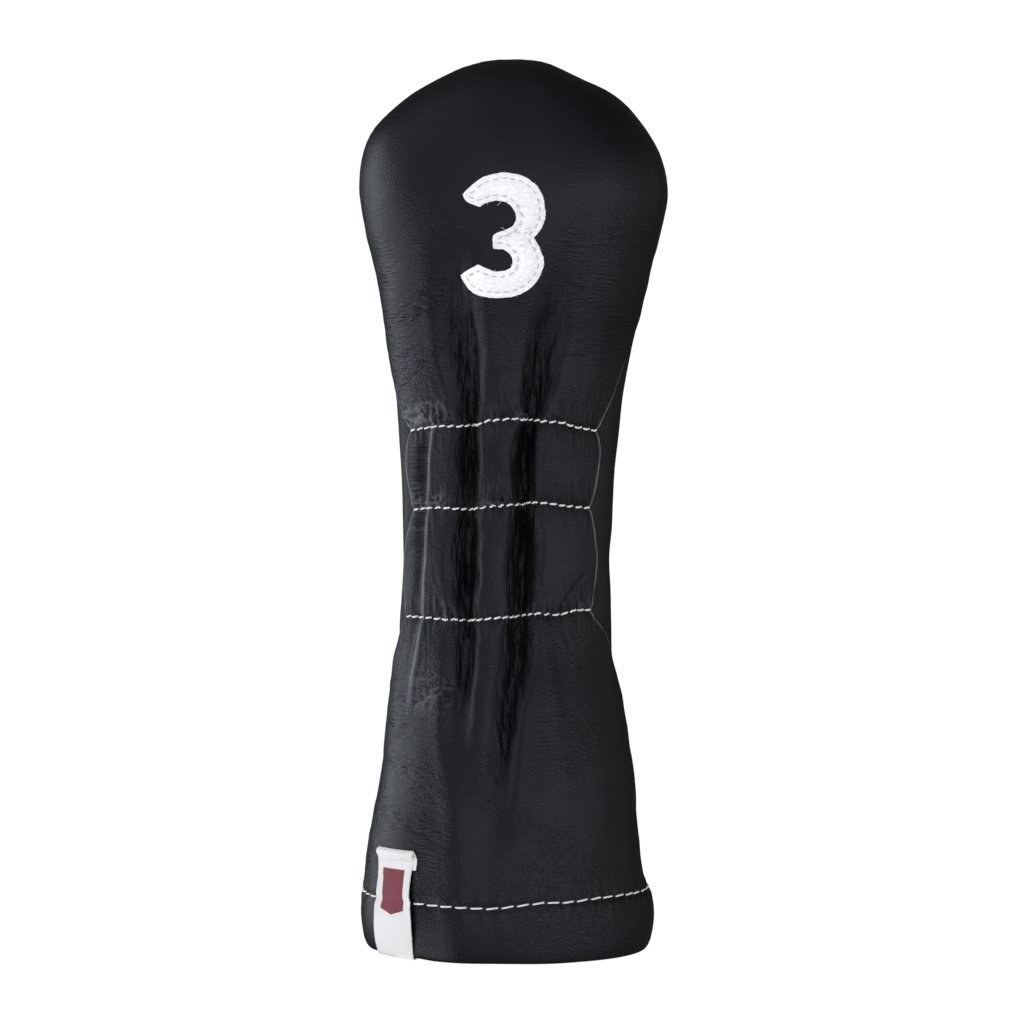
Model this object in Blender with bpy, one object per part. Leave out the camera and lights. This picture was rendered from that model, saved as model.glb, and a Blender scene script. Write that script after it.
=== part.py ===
"""Leather head cover for a golf wood: a two-panel shell with a gathered elastic neck,
a fleece lining, a turned-up hem, a sewn-on numeral and a woven label.

Units are metres, +Z is up and the numeral faces -Y. The cover stands on its hem, and the
origin is on that plane, in the middle of the hem.
"""

from math import acos, asin, cos, hypot, pi, radians, sin

import bmesh
import bpy
from mathutils import Matrix, Vector

MM = 0.001
GAP = 0.3 * MM

# The whole cover
HEIGHT = 325 * MM
SHOULDER = 275 * MM
ROUNDNESS = 2.15
CROWN_ROUNDNESS = 1.9
SEAM_GAP = GAP

# Sections of the outside, in mm: height, half width on the left and on the right, depth to
# the front and to the back, and how far the left and the right side seams lie in front of
# the middle.
SECTIONS = (
    (0, 53.4, 49.2, 40.5, 39.5, 0, 0),
    (12, 55.2, 51.2, 41.5, 40.5, 0, 0),
    (24, 53.8, 48.4, 40.5, 39.5, 0, 0),
    (57, 49.1, 44.3, 37.0, 36.0, 1, 1),
    (90, 45.4, 39.6, 32.0, 31.0, 4, 5),
    (113, 41.5, 35.8, 28.5, 27.5, 10, 12),
    (145, 39.9, 35.2, 26.2, 25.2, 13, 16),
    (178, 40.6, 37.4, 27.0, 25.5, 13, 16),
    (211, 43.6, 41.5, 31.0, 29.5, 6, 9),
    (244, 49.1, 49.5, 37.0, 35.5, 0, 0),
    (275, 56.4, 56.4, 40.0, 39.0, 0, 0),
)

# Layers, from the outside in
LEATHER = 1.2 * MM
HEM_HEIGHT = 21.2 * MM
HEM_WALL = 2.6 * MM
ELASTIC_WALL = 0.8 * MM
ELASTIC_WIDTH = 8 * MM
LINING_DEPTH = 3.8 * MM
LINING_WALL = 2.2 * MM

# Threads
THREAD = 0.7 * MM
FINE_THREAD = 0.5 * MM
HEM_STITCH_HEIGHT = 20 * MM

# The gathered neck: the three elastic rows, and the folds that they draw into the front
GATHER_ROWS = {"upper": 190 * MM, "middle": 160 * MM, "lower": 121 * MM}
FOLDS = ((-32.8, 2.3, 1.2), (-16.0, 4.2, 2.7), (4.5, 4.6, 2.8))
FOLD_FADES = (60 * MM, 112 * MM, 198 * MM, 232 * MM)

# Numeral and label
NUMERAL_MIDDLE = (-3.3 * MM, 255.9 * MM)
NUMERAL_WALL = 1.2 * MM
NUMERAL_MARGIN = 1.9 * MM
LABEL_WIDTH = 17.5 * MM
LABEL_WALL = 0.4 * MM
LABEL_MIDDLE = -42 * MM
LABEL_TOP = 38 * MM
LABEL_INSIDE_TOP = 12 * MM
LABEL_BOW = 1.2 * MM
LABEL_NOTCH = 0.9 * MM

FRONT_COLUMNS = 26
BACK_COLUMNS = 16
LINING_COLUMNS = 14
CROWN_STEPS = 7
CROWN_LEVELS = tuple(SHOULDER + i / CROWN_STEPS for i in range(1, CROWN_STEPS + 1))
SHELL_LEVELS = (
    tuple(z * MM for z in (0, 6, 12, 20, 21.2, 21.8, 38, 56, 74, 90, 106, 121, 134, 147, 160, 175, 190))
    + tuple(z * MM for z in (204, 218, 232, 246, 260, 275))
    + CROWN_LEVELS
)
LINING_LEVELS = tuple(z * MM for z in (22.4, 50, 80, 104, 121, 140, 160, 190, 210, 232, 254, 275)) + CROWN_LEVELS

LEATHER_BLACK = ("black_leather", (0.012, 0.013, 0.015), 0.45)
WHITE_LEATHER = ("white_leather", (0.78, 0.78, 0.76), 0.5)
FLEECE = ("lining_fleece", (0.10, 0.10, 0.11), 0.95)
ELASTIC = ("elastic", (0.75, 0.75, 0.73), 0.8)
WHITE_THREAD = ("white_thread", (0.80, 0.79, 0.75), 0.7)
BLACK_THREAD = ("black_thread", (0.015, 0.015, 0.015), 0.7)
GREY_THREAD = ("grey_thread", (0.42, 0.41, 0.38), 0.7)
SATIN = ("label_satin", (0.80, 0.80, 0.79), 0.4)


def clear_scene():
    for item in list(bpy.data.objects):
        bpy.data.objects.remove(item, do_unlink=True)


def material_of(look):
    name, colour, roughness = look
    made = bpy.data.materials.get(name)
    if made is None:
        made = bpy.data.materials.new(name)
        made.use_nodes = True
        surface = made.node_tree.nodes["Principled BSDF"]
        surface.inputs["Base Color"].default_value = (*colour, 1)
        surface.inputs["Roughness"].default_value = roughness
        surface.inputs["Metallic"].default_value = 0
    return made


def add_object(name, data, look):
    made = bpy.data.objects.new(name, data)
    bpy.context.scene.collection.objects.link(made)
    data.materials.append(material_of(look))
    return made


# --- The shape of the cover -------------------------------------------------------------


def section_at(height):
    """The section's measures in metres, on a smooth curve through SECTIONS."""
    rows = [[value * MM for value in row] for row in SECTIONS]
    last = len(rows) - 1
    height = min(max(height, rows[0][0]), rows[last][0])
    i = max(k for k in range(last) if rows[k][0] <= height)
    low, high = rows[i], rows[i + 1]
    before, after = rows[max(i - 1, 0)], rows[min(i + 2, last)]
    span = high[0] - low[0]
    t = (height - low[0]) / span
    found = []
    for k in range(1, len(low)):
        slope_low = (high[k] - before[k]) / (high[0] - before[0])
        slope_high = (after[k] - low[k]) / (after[0] - low[0]) if i + 1 < last else 0
        found.append(
            (2 * t**3 - 3 * t**2 + 1) * low[k]
            + (t**3 - 2 * t**2 + t) * span * slope_low
            + (3 * t**2 - 2 * t**3) * high[k]
            + (t**3 - t**2) * span * slope_high
        )
    return found


def level_shape(level):
    """Height, and the section's measures there. A level up to the shoulder is a height, and
    past it the dome's angle, from 0 to 1 for a quarter turn."""
    if level <= SHOULDER:
        return level, section_at(level)
    angle = min(level - SHOULDER, 1) * pi / 2
    share = max(cos(angle), 0) ** (2 / CROWN_ROUNDNESS)
    height = SHOULDER + (HEIGHT - SHOULDER) * sin(angle) ** (2 / CROWN_ROUNDNESS)
    return height, [value * share for value in section_at(SHOULDER)]


def power(value, exponent):
    return abs(value) ** exponent * (1 if value >= 0 else -1)


def envelope(angle, level):
    """A point of the smooth outside. The angle runs from the left side over the front, at a
    quarter turn, to the right side at a half turn, and on over the back."""
    height, (left, right, front, back, _, _) = level_shape(level)
    width = left if cos(angle) > 0 else right
    depth = front if sin(angle) >= 0 else back
    rounding = 2 / ROUNDNESS
    return Vector((-width * power(cos(angle), rounding), -depth * power(sin(angle), rounding), height))


def outward(angle, level):
    """The outward direction. Under the hem's top it is level, so that the edge is flat."""
    if level > SHOULDER + 0.999:
        return Vector((0, 0, 1))
    step_angle, step_level = 0.02, 0.5 * MM if level < SHOULDER else 0.01
    across = envelope(angle + step_angle, level) - envelope(angle - step_angle, level)
    top = min(level + step_level, SHOULDER + 1)
    up = envelope(angle, top) - envelope(angle, max(level - step_level, 0))
    if level <= HEM_HEIGHT:
        up = Vector((0, 0, 1))
    return across.cross(up).normalized()


def ramp(value, start, end):
    t = min(max((value - start) / (end - start), 0), 1)
    return t * t * (3 - 2 * t)


def fold_depth(x, height):
    """How far the gathers draw the front in, at a place across it."""
    bottom, full, top_full, top = FOLD_FADES
    strength = ramp(height, bottom, full) * (1 - ramp(height, top_full, top))
    depths = (deep * MM * 2.718 ** (-(((x / MM - middle) / width) ** 2)) for middle, width, deep in FOLDS)
    return strength * sum(depths)


def seam_angles(level):
    """The angles at which the left and the right side seams run."""
    _, (_, _, front, _, *forward) = level_shape(level)
    past = [asin((max(distance, 0) / front) ** (ROUNDNESS / 2)) if front > MM else 0 for distance in forward]
    return past[0], pi - past[1]


def place(angle, level, inset, folded):
    """A point at a depth under the outside surface, with the front's folds if asked for."""
    point = envelope(angle, level)
    if folded and sin(angle) > 0:
        inset = inset + fold_depth(point.x, point.z)
    return point - outward(angle, level) * inset


def front_angle(share, level):
    left, right = seam_angles(level)
    return left + share * (right - left)


def back_angle(share, level):
    left, right = seam_angles(level)
    return right + share * (left + 2 * pi - right)


# --- Building tools ---------------------------------------------------------------------


def thicken(bm):
    """Adds a second skin, joined to the first round its edge, and gives its vertices."""
    made = bmesh.ops.extrude_face_region(bm, geom=bm.faces[:], use_keep_orig=True)
    return [item for item in made["geom"] if isinstance(item, bmesh.types.BMVert)]


def sheet_solid(name, columns, levels, outer, inner, look):
    """A curved sheet with thickness: two grids, placed by outer and inner, joined round
    their edge. Each takes a share from 0 to 1 across the sheet, and a level."""
    bm = bmesh.new()
    bmesh.ops.create_grid(bm, x_segments=columns, y_segments=len(levels) - 1, size=0.5)
    skins = [(list(bm.verts), outer), (thicken(bm), inner)]
    for verts, placed in skins:
        for vert in verts:
            level = levels[round((vert.co.y + 0.5) * (len(levels) - 1))]
            vert.co = placed(vert.co.x + 0.5, level)
    bmesh.ops.remove_doubles(bm, verts=bm.verts, dist=0.02 * MM)
    bmesh.ops.recalc_face_normals(bm, faces=bm.faces)
    mesh = bpy.data.meshes.new(name)
    bm.to_mesh(mesh)
    bm.free()
    mesh.shade_smooth()
    mesh.set_sharp_from_angle(angle=radians(40))
    return add_object(name, mesh, look)


def thread_along(name, points, diameter, look, closed=False):
    """A sewing thread, as a fine tube along its points."""
    data = bpy.data.curves.new(name, "CURVE")
    data.dimensions = "3D"
    data.bevel_depth = diameter / 2
    data.bevel_resolution = 0
    data.use_fill_caps = not closed
    spline = data.splines.new("POLY")
    spline.points.add(len(points) - 1)
    for target, point in zip(spline.points, points):
        target.co = (*point, 1)
    spline.use_cyclic_u = closed
    return add_object(name, data, look)


def cut_with(target, cutter):
    cutter.hide_render = True
    cutter.display_type = "WIRE"
    cut = target.modifiers.new("cut", "BOOLEAN")
    cut.operation = "DIFFERENCE"
    cut.solver = "EXACT"
    cut.object = cutter


# --- Shell and lining -------------------------------------------------------------------


def shell_wall(level):
    return HEM_WALL if level <= HEM_HEIGHT else LEATHER


def shifted(point, distance):
    return point + Vector((0, distance, 0))


def add_shell():
    half = SEAM_GAP / 2
    front = sheet_solid(
        "front_panel",
        FRONT_COLUMNS,
        SHELL_LEVELS,
        lambda s, level: shifted(place(front_angle(s, level), level, 0, True), -half),
        lambda s, level: shifted(place(front_angle(s, level), level, shell_wall(level), True), -half),
        LEATHER_BLACK,
    )
    sheet_solid(
        "back_panel",
        BACK_COLUMNS,
        SHELL_LEVELS,
        lambda s, level: shifted(place(back_angle(s, level), level, 0, False), half),
        lambda s, level: shifted(place(back_angle(s, level), level, shell_wall(level), False), half),
        LEATHER_BLACK,
    )
    return front


def lining_inset(level, angle):
    """The lining lies deeper behind the gathers, so that the folds have room."""
    bottom, full, top_full, top = FOLD_FADES
    neck = ramp(level, bottom - 20 * MM, full) * (1 - ramp(level, top_full, top + 10 * MM))
    return LINING_DEPTH + 2.8 * MM * neck * max(sin(angle), 0)


def add_lining():
    half = SEAM_GAP / 2

    def skin(angle_of, depth, side):
        return lambda s, level: shifted(
            place(angle_of(s, level), level, lining_inset(level, angle_of(s, level)) + depth, False), side
        )

    for name, angle_of, side in (("front_lining", front_angle, -half), ("back_lining", back_angle, half)):
        outer = skin(angle_of, 0, side)
        inner = skin(angle_of, LINING_WALL, side)
        sheet_solid(name, LINING_COLUMNS, LINING_LEVELS, outer, inner, FLEECE)


# --- Elastic and seams ------------------------------------------------------------------


def column_shares(margin=0):
    """The front panel's own columns, so that what is sewn to it follows its facets."""
    shares = [i / FRONT_COLUMNS for i in range(FRONT_COLUMNS + 1)]
    shares[0] = margin
    shares[-1] = 1 - margin
    return shares


def add_gather_row(name, height):
    edge = 0.018
    shares = column_shares(edge)
    elastic_depth = LEATHER + GAP

    def skin(depth):
        return lambda s, level: place(
            front_angle(shares[round(s * FRONT_COLUMNS)], level), level, elastic_depth + depth, True
        )

    half = ELASTIC_WIDTH / 2
    levels = (height - half, height + half)
    sheet_solid(name + "_elastic", FRONT_COLUMNS, levels, skin(0), skin(ELASTIC_WALL), ELASTIC)
    needle = -(THREAD / 2 + GAP)
    bobbin = elastic_depth + ELASTIC_WALL + GAP + FINE_THREAD / 2
    for part, depth, size, look in (
        ("_gather_thread", needle, THREAD, WHITE_THREAD),
        ("_bobbin_thread", bobbin, FINE_THREAD, BLACK_THREAD),
    ):
        points = [place(front_angle(s, height), height, depth, True) for s in shares]
        thread_along(name + part, points, size, look)


def add_seam_thread(name, depth, levels, diameter):
    """One thread up the left seam, over the crown and down the right seam."""

    def edge(level, side):
        return place(seam_angles(level)[side], level, depth, True)

    climb = [edge(level, 0) for level in levels]
    descent = [edge(level, 1) for level in reversed(levels[:-1])]
    thread_along(name, climb + descent, diameter, BLACK_THREAD)


def add_hem_threads():
    columns = 48
    for name, depth, diameter, look in (
        ("hem_thread", -(THREAD / 2 + GAP), THREAD, WHITE_THREAD),
        ("hem_bobbin_thread", HEM_WALL + GAP + FINE_THREAD / 2, FINE_THREAD, BLACK_THREAD),
    ):
        angles = [2 * pi * i / columns for i in range(columns)]
        points = [place(angle, HEM_STITCH_HEIGHT, depth, False) for angle in angles]
        thread_along(name, points, diameter, look, closed=True)


# --- Numeral ----------------------------------------------------------------------------


# The numeral's outline in mm from its middle, anticlockwise from its notch. True is a corner.
NUMERAL_OUTLINE = (
    (10.9, -0.6, True),
    (14.0, 5.0, False),
    (14.6, 10.6, False),
    (11.6, 17.0, False),
    (5.0, 21.4, False),
    (-2.4, 21.6, False),
    (-9.4, 19.0, False),
    (-14.4, 14.4, True),
    (-8.2, 9.8, True),
    (-3.2, 12.1, False),
    (2.2, 11.2, False),
    (4.6, 6.6, False),
    (2.0, 2.8, False),
    (-3.4, 0.8, True),
    (-3.6, -4.8, True),
    (0.6, -5.0, False),
    (3.5, -8.0, False),
    (2.0, -11.6, False),
    (-3.4, -12.4, False),
    (-9.0, -10.2, True),
    (-15.4, -13.4, True),
    (-11.6, -19.4, False),
    (-3.0, -21.8, False),
    (5.0, -20.8, False),
    (12.0, -15.2, False),
    (14.3, -9.0, False),
    (13.0, -4.4, False),
)


def numeral_outline(steps=3):
    """The outline's points in metres, curved between its corners."""
    count = len(NUMERAL_OUTLINE)
    points = []
    for i, (x, z, corner) in enumerate(NUMERAL_OUTLINE):
        here = Vector((x, z))
        before = Vector(NUMERAL_OUTLINE[i - 1][:2])
        ahead = Vector(NUMERAL_OUTLINE[(i + 1) % count][:2])
        beyond = Vector(NUMERAL_OUTLINE[(i + 2) % count][:2])
        leave = (ahead - here) if corner else (ahead - before) / 2
        arrive = (ahead - here) if NUMERAL_OUTLINE[(i + 1) % count][2] else (beyond - here) / 2
        for k in range(steps):
            t = k / steps
            points.append(
                (2 * t**3 - 3 * t**2 + 1) * here
                + (t**3 - 2 * t**2 + t) * leave
                + (3 * t**2 - 2 * t**3) * ahead
                + (t**3 - t**2) * arrive
            )
    return [point * MM for point in points]


def front_depth(x, height):
    """How far the smooth front stands before the middle, at a place on the head."""
    if height <= SHOULDER:
        left, right, front = section_at(height)[:3]
    else:
        climbed = (height - SHOULDER) / (HEIGHT - SHOULDER)
        share = (1 - climbed**CROWN_ROUNDNESS) ** (1 / CROWN_ROUNDNESS)
        left, right, front = (value * share for value in section_at(SHOULDER)[:3])
    width = left if x < 0 else right
    return front * (1 - min(abs(x / width), 1) ** ROUNDNESS) ** (1 / ROUNDNESS)


def on_numeral(point, lift):
    x, z = point.x + NUMERAL_MIDDLE[0], point.y + NUMERAL_MIDDLE[1]
    return Vector((x, -front_depth(x, z) - SEAM_GAP / 2 - lift, z))


def add_numeral():
    outline = numeral_outline()
    bm = bmesh.new()
    bm.faces.new([bm.verts.new((p.x, p.y, 0)) for p in outline])
    step = 5.2 * MM
    for axis in (Vector((1, 0, 0)), Vector((0, 1, 0))):
        for k in range(-4, 5):
            whole = bm.verts[:] + bm.edges[:] + bm.faces[:]
            bmesh.ops.bisect_plane(bm, geom=whole, dist=0.01 * MM, plane_co=axis * (k * step + 0.13 * MM), plane_no=axis)
    bmesh.ops.triangulate(bm, faces=bm.faces)
    top = list(bm.verts)
    under = thicken(bm)
    for verts, lift in ((top, GAP + NUMERAL_WALL), (under, GAP)):
        for vert in verts:
            vert.co = on_numeral(vert.co, lift)
    bmesh.ops.recalc_face_normals(bm, faces=bm.faces)
    mesh = bpy.data.meshes.new("numeral_patch")
    bm.to_mesh(mesh)
    bm.free()
    add_object("numeral_patch", mesh, WHITE_LEATHER)
    lift = GAP + NUMERAL_WALL + GAP + FINE_THREAD / 2
    inner = [on_numeral(point, lift) for point in inset_outline(numeral_outline(steps=4), NUMERAL_MARGIN)]
    thread_along("numeral_thread", inner, FINE_THREAD, GREY_THREAD, closed=True)


def inset_outline(outline, distance):
    """The outline moved inwards, without the points that would cross at a corner."""
    count = len(outline)
    moved = []
    for i, point in enumerate(outline):
        along = (outline[(i + 1) % count] - outline[i - 1]).normalized()
        moved.append(point + Vector((-along.y, along.x)) * distance)
    return [p for p in moved if min((p - q).length for q in outline) > 0.93 * distance]


# --- Label ------------------------------------------------------------------------------


def label_angle(offset):
    """The angle at a distance across the label from its middle, at the hem."""
    left = section_at(HEM_STITCH_HEIGHT)[0]
    middle = acos((abs(LABEL_MIDDLE) / left) ** (ROUNDNESS / 2))
    a, b = envelope(middle - 0.05, HEM_STITCH_HEIGHT), envelope(middle + 0.05, HEM_STITCH_HEIGHT)
    return middle + offset * 0.1 / (b - a).length


def label_path():
    """Pairs of distance outwards and height: up the inside, under the hem and up the front."""
    outside = GAP + LABEL_WALL / 2
    inside = -(HEM_WALL + outside)
    under = 0.15 * MM + LABEL_WALL / 2
    path = [(inside, LABEL_INSIDE_TOP), (inside, 1.1 * MM), (inside + 0.4 * MM, under), (outside - 0.4 * MM, under)]
    steps = 8
    for k in range(steps + 1):
        height = 1.1 * MM + k / steps * (LABEL_TOP - 1.1 * MM)
        path.append((outside + LABEL_BOW * sin(pi * k / steps), height))
    return path


def add_label(front):
    path = label_path()
    across = 4

    def skin(side):
        def placed(share, index):
            i = round(index)
            out, height = path[i]
            before, after = path[max(i - 1, 0)], path[min(i + 1, len(path) - 1)]
            along = (after[0] - before[0], after[1] - before[1])
            size = hypot(*along)
            out += side * LABEL_WALL / 2 * along[1] / size
            height -= side * LABEL_WALL / 2 * along[0] / size
            angle = label_angle((share - 0.5) * LABEL_WIDTH)
            point = shifted(place(angle, max(height, 0), -out, False), -SEAM_GAP / 2)
            point.z = height
            return point

        return placed

    levels = tuple(range(len(path)))
    sheet_solid("woven_label", across, levels, skin(1), skin(-1), SATIN)
    tack_out = GAP + LABEL_WALL + GAP + FINE_THREAD / 2 + 0.35 * MM
    tack_height = LABEL_TOP - 2.2 * MM
    tack = [
        shifted(place(label_angle((k / across - 0.5) * 0.9 * LABEL_WIDTH), tack_height, -tack_out, False), -SEAM_GAP / 2)
        for k in range(across + 1)
    ]
    thread_along("label_thread", tack, FINE_THREAD, WHITE_THREAD)
    middle = label_angle(0)
    centre = place(middle, 0, HEM_WALL / 2, False)
    direction = outward(middle, 0)
    bm = bmesh.new()
    bmesh.ops.create_cube(bm, size=1)
    size = Vector((LABEL_WIDTH + 1 * MM, 4 * HEM_WALL, 2 * LABEL_NOTCH))
    bmesh.ops.scale(bm, vec=size, verts=bm.verts)
    turn = Matrix.Rotation(Vector((0, -1, 0)).angle(direction), 3, "Z")
    if (turn @ Vector((0, -1, 0)) - direction).length > 0.01:
        turn = turn.inverted()
    bmesh.ops.transform(bm, matrix=Matrix.Translation((centre.x, centre.y, 0)) @ turn.to_4x4(), verts=bm.verts)
    mesh = bpy.data.meshes.new("label_notch")
    bm.to_mesh(mesh)
    bm.free()
    notch = add_object("label_notch", mesh, LEATHER_BLACK)
    cut_with(front, notch)


def main():
    clear_scene()
    front = add_shell()
    add_lining()
    for name, height in GATHER_ROWS.items():
        add_gather_row(name, height)
    add_seam_thread("shell_seam_thread", LEATHER + 2 * GAP + THREAD / 2, SHELL_LEVELS[6:], THREAD)
    add_seam_thread("lining_seam_thread", LINING_DEPTH - GAP - FINE_THREAD / 2, LINING_LEVELS[1:], FINE_THREAD)
    add_hem_threads()
    add_numeral()
    add_label(front)


main()
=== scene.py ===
from functools import lru_cache
from math import acos, asin, atan, cos, exp, pi, radians, sin, sqrt

import bmesh
import bpy
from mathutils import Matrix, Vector, noise


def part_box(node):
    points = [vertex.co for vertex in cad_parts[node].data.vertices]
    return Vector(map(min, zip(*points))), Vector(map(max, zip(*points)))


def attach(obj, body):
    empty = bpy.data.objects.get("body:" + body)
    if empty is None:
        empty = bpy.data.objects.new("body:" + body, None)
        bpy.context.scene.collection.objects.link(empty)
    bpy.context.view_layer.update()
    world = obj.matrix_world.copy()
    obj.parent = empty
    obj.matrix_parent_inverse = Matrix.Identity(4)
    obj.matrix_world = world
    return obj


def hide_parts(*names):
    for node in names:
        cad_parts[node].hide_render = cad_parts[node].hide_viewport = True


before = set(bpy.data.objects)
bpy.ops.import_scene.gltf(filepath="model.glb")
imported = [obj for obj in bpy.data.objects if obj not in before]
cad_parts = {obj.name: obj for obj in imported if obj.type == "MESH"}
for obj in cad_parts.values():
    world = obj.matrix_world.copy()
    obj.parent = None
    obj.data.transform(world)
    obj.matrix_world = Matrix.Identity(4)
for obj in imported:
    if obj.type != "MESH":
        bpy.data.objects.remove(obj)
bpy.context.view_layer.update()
print("frame loaded:", len(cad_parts), "nodes")

mm = 0.001
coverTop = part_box("front_panel")[1].z / mm

# All shape values are in millimetres and become metres when a vertex is placed.
cover = {
    # height, half width left and right, depth front and back
    "sections": (
        (0, 52.8, 49.9, 40.4, 39.4), (4, 54.4, 51.3, 41.2, 40.2), (12, 55.4, 52.0, 41.6, 40.6),
        (19, 55.0, 50.9, 41.1, 40.1), (26, 53.9, 48.0, 40.4, 39.4), (45, 51.2, 45.7, 38.6, 37.6),
        (60, 48.2, 44.6, 36.9, 35.9),
        (90, 44.8, 40.2, 32.2, 31.2), (104, 42.9, 37.0, 29.6, 28.6), (113, 41.4, 36.5, 28.4, 27.4),
        (145, 40.5, 36.4, 26.4, 25.4), (178, 41.2, 38.4, 27.2, 25.7), (211, 44.2, 42.4, 31.2, 29.7),
        (244, 49.5, 50.2, 37.0, 35.7), (275, 56.0, 56.6, 40.1, 39.1),
    ),
    # height, and how far the side seams step forward of the middle, left and right
    "seams": (
        (38, 0, 0), (60, 0.4, 0.5), (85, 0.6, 2.5), (100, 1.4, 5), (106, 3, 7.3), (112, 6, 9.8),
        (118, 9.3, 14.8), (121.5, 10.6, 17.2), (126, 10, 17), (133, 9.2, 16), (142, 8.9, 15.5),
        (151, 10.4, 16.2), (157.5, 11.8, 17.2), (160.3, 12.4, 17.7), (164, 12, 17.3), (170, 11.6, 17),
        (178, 11.4, 16.8), (184, 12.4, 17.2), (188, 13.6, 18), (192, 12.6, 17.3), (198, 9.6, 15.4),
        (206, 5.4, 12.8), (216, 2.5, 9.8), (228, 0.6, 5), (244, 0, 0),
    ),
    "shoulder": 275,
    # how square the outline is in the neck and in the crown, and the heights between which it changes
    "roundness": (2.15, 2.45),
    "rounding": (210, 252),
    # the heights over which the neck comes in and goes
    "neck": ((96, 114), (196, 226)),
    "crownRoundness": 1.9,
    "seamGap": 0.08,
    "seamRoll": 1.1,
    "leather": 1.3,
    "hem": 24.0,
    "hemWall": 2.6,
    "hemRound": 1.3,
}
shoulder = cover["shoulder"]
crownRise = coverTop - shoulder
top = shoulder + crownRise


def hermite(t, low, high, leave, arrive):
    return (
        (2 * t**3 - 3 * t**2 + 1) * low
        + (t**3 - 2 * t**2 + t) * leave
        + (3 * t**2 - 2 * t**3) * high
        + (t**3 - t**2) * arrive
    )


def through(stations, at, flatEnd=False):
    # a smooth run through stations, each of which starts with its own place
    if at <= stations[0][0]:
        return list(stations[0][1:])
    if at >= stations[-1][0]:
        return list(stations[-1][1:])
    last = len(stations) - 1
    i = sum(1 for station in stations[1:-1] if station[0] <= at)
    low, high = stations[i], stations[i + 1]
    before, after = stations[max(i - 1, 0)], stations[min(i + 2, last)]
    span = high[0] - low[0]
    t = (at - low[0]) / span
    found = []
    for k in range(1, len(low)):
        leave = (high[k] - before[k]) / (high[0] - before[0])
        arrive = 0 if flatEnd and i + 1 == last else (after[k] - low[k]) / (after[0] - low[0])
        found.append(hermite(t, low[k], high[k], span * leave, span * arrive))
    return found


def ramp(value, start, end):
    # rises smoothly from 0 to 1
    t = min(max((value - start) / (end - start), 0), 1)
    return t * t * (3 - 2 * t)


def bell(offset, width, sharpness=2):
    # 1 at no offset, and falling away past the width
    return exp(-(abs(offset / width) ** sharpness))


def cleft(offset, reach):
    # a fold's steep sides, round at the bottom and rolled over at the top
    return (1 - min(sqrt(offset**2 + 0.9) / (1.24 * reach), 1) ** 1.8) ** 3


def wobble(x, y, z=0.0):
    return noise.noise(Vector((x, y, z)))


def roundnessAt(level):
    # the neck is rounder than the crown
    neck, crown = cover["roundness"]
    return neck + (crown - neck) * ramp(level, *cover["rounding"])


@lru_cache(maxsize=None)
def levelShape(level):
    # height and section; past the shoulder the level follows the dome's angle
    section = through(cover["sections"], min(level, shoulder), flatEnd=True)
    if level <= shoulder:
        return level, section
    angle = min((level - shoulder) / crownRise, 1) * pi / 2
    power = 2 / cover["crownRoundness"]
    share = max(cos(angle), 0) ** power
    return shoulder + crownRise * sin(angle) ** power, [value * share for value in section]


def levelOfHeight(height):
    if height <= shoulder:
        return height
    climbed = min((height - shoulder) / crownRise, 1) ** (cover["crownRoundness"] / 2)
    return shoulder + crownRise * asin(climbed) / (pi / 2)


def powered(value, exponent):
    return abs(value) ** exponent * (1 if value >= 0 else -1)


def envelope(angle, level):
    # the angle runs from the left side over the front to the right side and on over the back
    height, (left, right, front, back) = levelShape(level)
    width = left if cos(angle) > 0 else right
    depth = front if sin(angle) >= 0 else back
    power = 2 / roundnessAt(level)
    return Vector((-width * powered(cos(angle), power), -depth * powered(sin(angle), power), height))


def outward(angle, level):
    if level > top - 0.05:
        return Vector((0, 0, 1))
    across = envelope(angle + 0.02, level) - envelope(angle - 0.02, level)
    up = envelope(angle, min(level + 0.5, top)) - envelope(angle, max(level - 0.5, 0))
    if level < 6:
        up = Vector((0, 0, 1))
    return across.cross(up).normalized()


@lru_cache(maxsize=None)
def seamAngles(level):
    if not cover["seams"][0][0] < level < cover["seams"][-1][0]:
        return 0, pi
    front = levelShape(level)[1][2]
    past = [asin((max(step, 0) / front) ** (roundnessAt(level) / 2)) for step in through(cover["seams"], level)]
    return past[0], pi - past[1]


@lru_cache(maxsize=None)
def seamPoints(level):
    return [envelope(angle, level) for angle in seamAngles(level)]


def panelAngle(panel, share, level):
    left, right = seamAngles(level)
    if panel == "front":
        return left + share * (right - left)
    return right + share * (left + 2 * pi - right)


def shareAtX(x, level):
    # where across the front panel a given x lies
    _, (leftWidth, rightWidth, *_) = levelShape(level)
    width = leftWidth if x < 0 else rightWidth
    angle = acos(max(min(powered(-x / width, roundnessAt(level) / 2), 1), -1))
    left, right = seamAngles(level)
    return (angle - left) / (right - left)


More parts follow.
